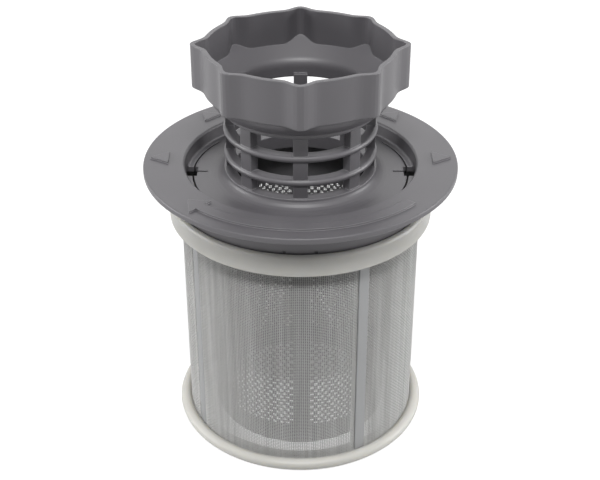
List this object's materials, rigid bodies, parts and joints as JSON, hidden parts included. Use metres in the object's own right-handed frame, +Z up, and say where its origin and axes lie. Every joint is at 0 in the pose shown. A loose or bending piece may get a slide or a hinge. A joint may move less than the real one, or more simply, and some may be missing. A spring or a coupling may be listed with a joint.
{
  "type": "dishwasher filter",
  "caption": "Round dishwasher filter: coarse filter with scalloped grip, slotted cage and wide flange, plugged into a fine mesh cylinder with white end rings.",
  "frame": {"origin": "centre of the foot of the lower ring, on the surface that the filter stands on", "axes": "+Z up along the filter's axis towards the grip, -Y the front with the turning arrow, +X the right"},
  "size_m": [0.094, 0.094, 0.1252],
  "materials": {
    "grey_plastic": "satin moulded grey, slightly purple, with worn light edges",
    "basket_plastic": "matt moulded grey",
    "white_plastic": "satin natural white",
    "fine_mesh": "fine plain-woven gauze, grey"
  },
  "bodies": {
    "mesh_cylinder": {"mesh_frame": "white_plastic", "mesh_sleeve": "fine_mesh"},
    "coarse_filter": {"top_moulding": "grey_plastic", "coarse_basket": "basket_plastic"}
  },
  "joints": [
    {"name": "coarse_filter_lift", "type": "slide", "parent": "mesh_cylinder", "child": "coarse_filter", "axis": [0, 0, 1], "range_m": [0, 0.09]}
  ]
}
